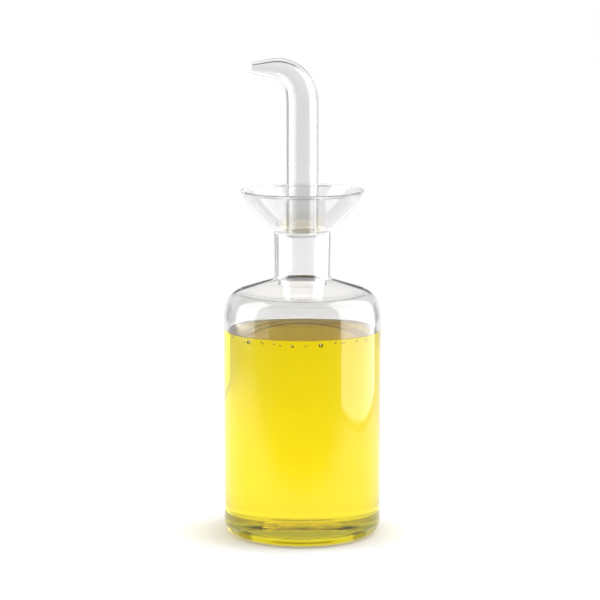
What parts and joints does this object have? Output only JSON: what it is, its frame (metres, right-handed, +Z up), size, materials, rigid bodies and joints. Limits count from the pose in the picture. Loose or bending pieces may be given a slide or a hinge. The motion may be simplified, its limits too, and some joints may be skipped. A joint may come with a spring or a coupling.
{
  "type": "oil cruet",
  "caption": "Clear glass oil cruet, part filled with yellow oil: cylindrical bottle, funnel-shaped drip cup at the neck and a hollow stopper with a bent pouring spout.",
  "frame": {"origin": "centre of the bottle's base, on the surface it stands on", "axes": "+Z up along the bottle's axis; the spout points along -X; the front that the picture shows faces -Y"},
  "size_m": [0.066, 0.066, 0.2007],
  "materials": {
    "clear_glass": "fire-polished clear glass",
    "yellow_oil": "clear bright yellow cooking oil"
  },
  "bodies": {
    "root": {"glass_bottle": "clear_glass", "spout_stopper": "clear_glass", "oil_fill": "yellow_oil"}
  },
  "joints": []
}
